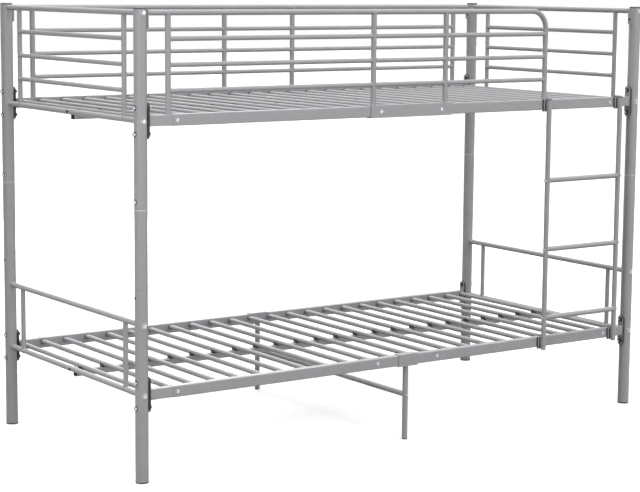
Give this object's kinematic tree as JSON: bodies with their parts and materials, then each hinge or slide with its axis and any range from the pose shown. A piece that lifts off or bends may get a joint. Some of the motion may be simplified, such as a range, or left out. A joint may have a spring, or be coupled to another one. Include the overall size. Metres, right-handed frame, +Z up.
{
  "type": "metal bunk bed",
  "caption": "Silver-grey tubular steel bunk bed with round posts, slatted bunks, barred guards and a hook-on ladder.",
  "frame": {"origin": "on the floor, at the centre of the four corner posts", "axes": "+X along the bed towards the ladder end, +Y across it towards the rear guard, +Z up"},
  "size_m": [2.091, 0.9854, 1.46],
  "materials": {
    "powder_coat": "satin silver-grey powder coat",
    "plain_steel": "bare steel inside the tubes",
    "zinc": "bright zinc plate",
    "dark_zinc": "dark zinc plate",
    "black_plastic": "moulded matt black",
    "grey_plastic": "moulded dark grey",
    "black_rubber": "soft black"
  },
  "bodies": {
    "bed_frame": {"bracket_nuts": "dark_zinc", "centre_leg_bolts": "zinc", "centre_leg_caps": "black_plastic", "centre_leg_crossbar": "powder_coat", "centre_leg_front": "powder_coat", "centre_leg_rear": "powder_coat", "centre_support_plugs": "black_plastic", "centre_support_screws": "dark_zinc", "frame_bolts": "zinc", "front_guard_rail": "powder_coat", "guard_end_tabs": "powder_coat", "lower_centre_support": "powder_coat", "lower_end_frame_left": "powder_coat", "lower_end_frame_right": "powder_coat", "lower_rail_brackets": "powder_coat", "lower_rail_front_left": "powder_coat", "lower_rail_front_right": "powder_coat", "lower_rail_rear_left": "powder_coat", "lower_rail_rear_right": "powder_coat", "lower_slat_bushes": "grey_plastic", "lower_slat_clips": "black_plastic", "lower_slats": "powder_coat", "post_foot_caps": "grey_plastic", "post_joint_sleeves": "plain_steel", "post_lower_front_left": "powder_coat", "post_lower_front_right": "powder_coat", "post_lower_rear_left": "powder_coat", "post_lower_rear_right": "powder_coat", "post_middle_front_left": "powder_coat", "post_middle_front_right": "powder_coat", "post_middle_rear_left": "powder_coat", "post_middle_rear_right": "powder_coat", "post_screws": "dark_zinc", "post_top_caps": "grey_plastic", "post_upper_front_left": "powder_coat", "post_upper_front_right": "powder_coat", "post_upper_rear_left": "powder_coat", "post_upper_rear_right": "powder_coat", "rail_joint_sleeves": "plain_steel", "rail_screws": "zinc", "rear_guard_rail": "powder_coat", "upper_centre_support": "powder_coat", "upper_end_frame_left": "powder_coat", "upper_end_frame_right": "powder_coat", "upper_rail_brackets": "powder_coat", "upper_rail_front_left": "powder_coat", "upper_rail_front_right": "powder_coat", "upper_rail_rear_left": "powder_coat", "upper_rail_rear_right": "powder_coat", "upper_slat_bushes": "grey_plastic", "upper_slat_clips": "black_plastic", "upper_slats": "powder_coat"},
    "ladder": {"ladder_bolts": "zinc", "ladder_hook_pads": "black_rubber", "ladder_plugs": "black_plastic", "ladder_rungs": "powder_coat", "ladder_stile_left": "powder_coat", "ladder_stile_right": "powder_coat"}
  },
  "joints": [
    {"name": "ladder_lift", "type": "slide", "parent": "bed_frame", "child": "ladder", "axis": [0, 0, 1], "range_m": [0, 0.05]}
  ]
}
